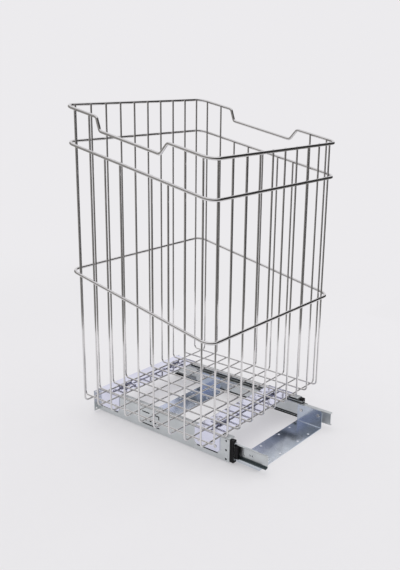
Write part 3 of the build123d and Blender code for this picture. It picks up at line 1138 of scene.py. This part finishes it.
class LightStudio(bpy.types.Operator):
    """Lay the floor, hang the lamps and stand the camera"""

    bl_idname = "laundry.light_studio"
    bl_label = "Light the studio"

    def execute(self, context):
        scene = context.scene
        studio = scene.laundry_studio
        scene.view_settings.view_transform = "Standard"
        self.lay_floor(studio)
        self.hang_cloth(studio)
        self.fill_with_daylight(scene, studio)
        self.hang_lamp(
            "overhead",
            place=(0.1, -0.2, 2.4),
            aim=(0, 0.07, 0.2),
            panel=(2.4, 2.4),
            power=studio.overhead_lamp,
        )
        self.hang_lamp(
            "side",
            place=(-1.9, 1.2, 1.5),
            aim=(0, 0.07, 0.3),
            panel=(1.6, 1.2),
            power=studio.side_lamp,
        )
        self.stand_camera(scene, studio)
        return {"FINISHED"}

    def lay_floor(self, studio):
        """A floor of paper that glows by itself from a little way off."""
        start_fresh()
        bpy.ops.mesh.primitive_plane_add(size=FLOOR_WIDTH, location=(0, 0, -FLOOR_DROP))
        floor = bpy.context.object
        floor.name = "floor"
        settle()
        finish = Finish("studio_floor")
        colour = finish.blend(
            finish.noise(40.0, detail=3.0), shade(studio.backdrop, 0.985), shade(studio.backdrop)
        )
        paper = finish.node("ShaderNodeBsdfPrincipled", {"Base Color": colour, "Roughness": 0.75})
        glow = finish.node("ShaderNodeEmission", {"Color": shade(studio.backdrop)})
        away = finish.node("ShaderNodeVectorMath", {0: finish.place}, "Value", operation="LENGTH")
        far = finish.band(away, studio.glow_start, studio.glow_full)
        glowing = studio.near_glow + far * (1.0 - studio.near_glow)
        finish.show(finish.node("ShaderNodeMixShader", {0: glowing, 1: paper, 2: glow}))
        floor.data.materials.append(finish.owner)

    def hang_cloth(self, studio):
        """Dark cloth out of the picture, lying and hung, for the bright wire to mirror."""
        finish = Finish("dark_cloth")
        sockets = {0: finish.place, 1: CLOTH_FADE}
        across = finish.node("ShaderNodeVectorMath", sockets, "Value", operation="DOT_PRODUCT")
        fade = finish.band(across, -studio.cloth_reach, studio.cloth_reach)
        colour = finish.blend(fade, shade(studio.dark_cloth), shade(studio.grey_cloth))
        finish.surface(colour, 0.9)
        start_fresh()
        bpy.ops.mesh.primitive_circle_add(
            vertices=CLOTH_FACETS,
            radius=studio.cloth_reach,
            fill_type="NGON",
            location=(0, 0, CLOTH_LIFT),
        )
        settle()
        open_mesh(kind="FACE")
        bpy.ops.mesh.inset(thickness=studio.cloth_reach - studio.cloth_gap)
        bpy.ops.mesh.delete(type="FACE")
        self.show_to_mirrors("cloth_on_floor", finish, studio)
        bpy.ops.mesh.primitive_cylinder_add(
            vertices=CLOTH_FACETS,
            radius=studio.cloth_reach,
            depth=studio.cloth_height,
            end_fill_type="NOTHING",
            location=(0, 0, studio.cloth_height / 2),
        )
        settle()
        self.show_to_mirrors("hung_cloth", finish, studio)

    def show_to_mirrors(self, name, finish, studio):
        """Opens the active cloth towards the backdrop and lets only reflections see it."""
        first, last = studio.cloth_opening
        pick_faces(lambda centre, normal: first < atan2(centre.x, -centre.y) % (2 * pi) < last)
        bpy.ops.mesh.delete(type="FACE")
        set_mode("OBJECT")
        cloth = bpy.context.object
        cloth.name = name
        cloth.data.materials.append(finish.owner)
        for ray in ("camera", "diffuse", "transmission", "shadow"):
            setattr(cloth, f"visible_{ray}", False)
        start_fresh()

    def fill_with_daylight(self, scene, studio):
        """Even light, with the pale backdrop for what is seen directly or in the metal."""
        air = Finish("studio_air", "worlds")
        scene.world = air.owner
        camera, glossy, transmission = (
            air.node("ShaderNodeLightPath", output=f"Is {kind} Ray")
            for kind in ("Camera", "Glossy", "Transmission")
        )
        light = air.node(
            "ShaderNodeBackground", {"Color": shade((1, 1, 1)), "Strength": studio.daylight}
        )
        backdrop = air.node("ShaderNodeBackground", {"Color": shade(studio.backdrop)})
        seen = camera + glossy + transmission
        air.show(air.node("ShaderNodeMixShader", {0: seen, 1: light, 2: backdrop}), "World")

    def hang_lamp(self, name, place, aim, panel, power):
        """A soft rectangular lamp that points at the basket and isn't seen in the metal."""
        start_fresh()
        turn = facing(Vector(aim) - Vector(place), "-Z")
        bpy.ops.object.light_add(type="AREA", location=place, rotation=turn.to_euler())
        lamp = bpy.context.object
        lamp.name = f"{name}_lamp"
        lamp.data.shape = "RECTANGLE"
        lamp.data.size, lamp.data.size_y = panel
        lamp.data.energy = power
        lamp.visible_glossy = False

    def stand_camera(self, scene, studio):
        start_fresh()
        sight = Vector(studio.camera_aim) - Vector(studio.camera_place)
        turn = facing(sight, "-Z") @ Quaternion((0, 0, 1), studio.camera_roll)
        bpy.ops.object.camera_add(location=studio.camera_place, rotation=turn.to_euler())
        camera = bpy.context.object
        camera.name = "photo_camera"
        camera.data.sensor_fit = "VERTICAL"
        camera.data.sensor_height = FILM_HEIGHT
        camera.data.lens = studio.camera_lens
        scene.camera = camera


OPERATORS = (
    BendRings,
    BendFrontRearWires,
    BendSideWires,
    WeldWires,
    FormBrackets,
    FormSidePlates,
    FormStrips,
    RollSlides,
    MouldSlideEnds,
    FillCages,
    FormClips,
    SetRivets,
    LightStudio,
)
GROUPS = {
    "laundry_basket": BasketSizes,
    "laundry_frame": FrameSizes,
    "laundry_plating": PlatingColours,
    "laundry_studio": StudioSettings,
}


class LaundryPanel(bpy.types.Panel):
    """Sizes, colours and building steps of the laundry basket"""

    bl_idname = "LAUNDRY_PT_panel"
    bl_label = "Laundry basket"
    bl_space_type = "VIEW_3D"
    bl_region_type = "UI"
    bl_category = "Laundry basket"

    def draw(self, context):
        for operator in OPERATORS:
            self.layout.operator(operator.bl_idname)
        for name, group in GROUPS.items():
            box = self.layout.box()
            for setting in group.__annotations__:
                box.prop(getattr(context.scene, name), setting)


def register():
    for made in (*GROUPS.values(), *OPERATORS, LaundryPanel):
        bpy.utils.register_class(made)
    for name, group in GROUPS.items():
        setattr(bpy.types.Scene, name, bpy.props.PointerProperty(type=group))


def unregister():
    for name in GROUPS:
        delattr(bpy.types.Scene, name)
    for made in (LaundryPanel, *reversed(OPERATORS), *GROUPS.values()):
        bpy.utils.unregister_class(made)


def main():
    register()
    for operator in OPERATORS:
        family, step = operator.bl_idname.split(".")
        getattr(getattr(bpy.ops, family), step)()


if __name__ == "__main__":
    main()
